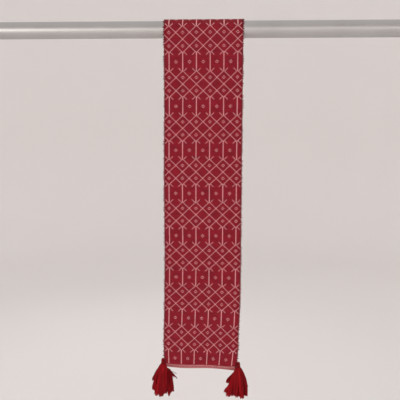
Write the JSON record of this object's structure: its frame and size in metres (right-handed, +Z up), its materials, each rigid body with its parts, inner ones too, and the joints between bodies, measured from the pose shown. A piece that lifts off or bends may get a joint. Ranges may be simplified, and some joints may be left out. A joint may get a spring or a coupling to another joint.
{
  "type": "table runner folded over a rail",
  "caption": "Long woven table runner with raised lattice-and-dot patterning and a yarn tassel at each corner, hung folded in half over a plain round tube rail.",
  "frame": {"origin": "on the rail's axis, midway between its ends and under the middle of the cloth's fold", "axes": "+X along the rail towards the right end as seen from the front, +Y from the front half of the cloth towards the back half, +Z up"},
  "size_m": [1.8, 0.1229, 1.5124],
  "materials": {
    "rail_metal": "satin",
    "runner_cloth": "matte",
    "pattern_yarn": "matte",
    "tassel_yarn": "matte"
  },
  "bodies": {
    "root": {"rail": "rail_metal", "runner": "runner_cloth", "tassel_front_left": "tassel_yarn", "binding_front_left": "tassel_yarn", "tassel_front_right": "tassel_yarn", "binding_front_right": "tassel_yarn", "tassel_back_left": "tassel_yarn", "binding_back_left": "tassel_yarn", "tassel_back_right": "tassel_yarn", "binding_back_right": "tassel_yarn"}
  },
  "joints": []
}
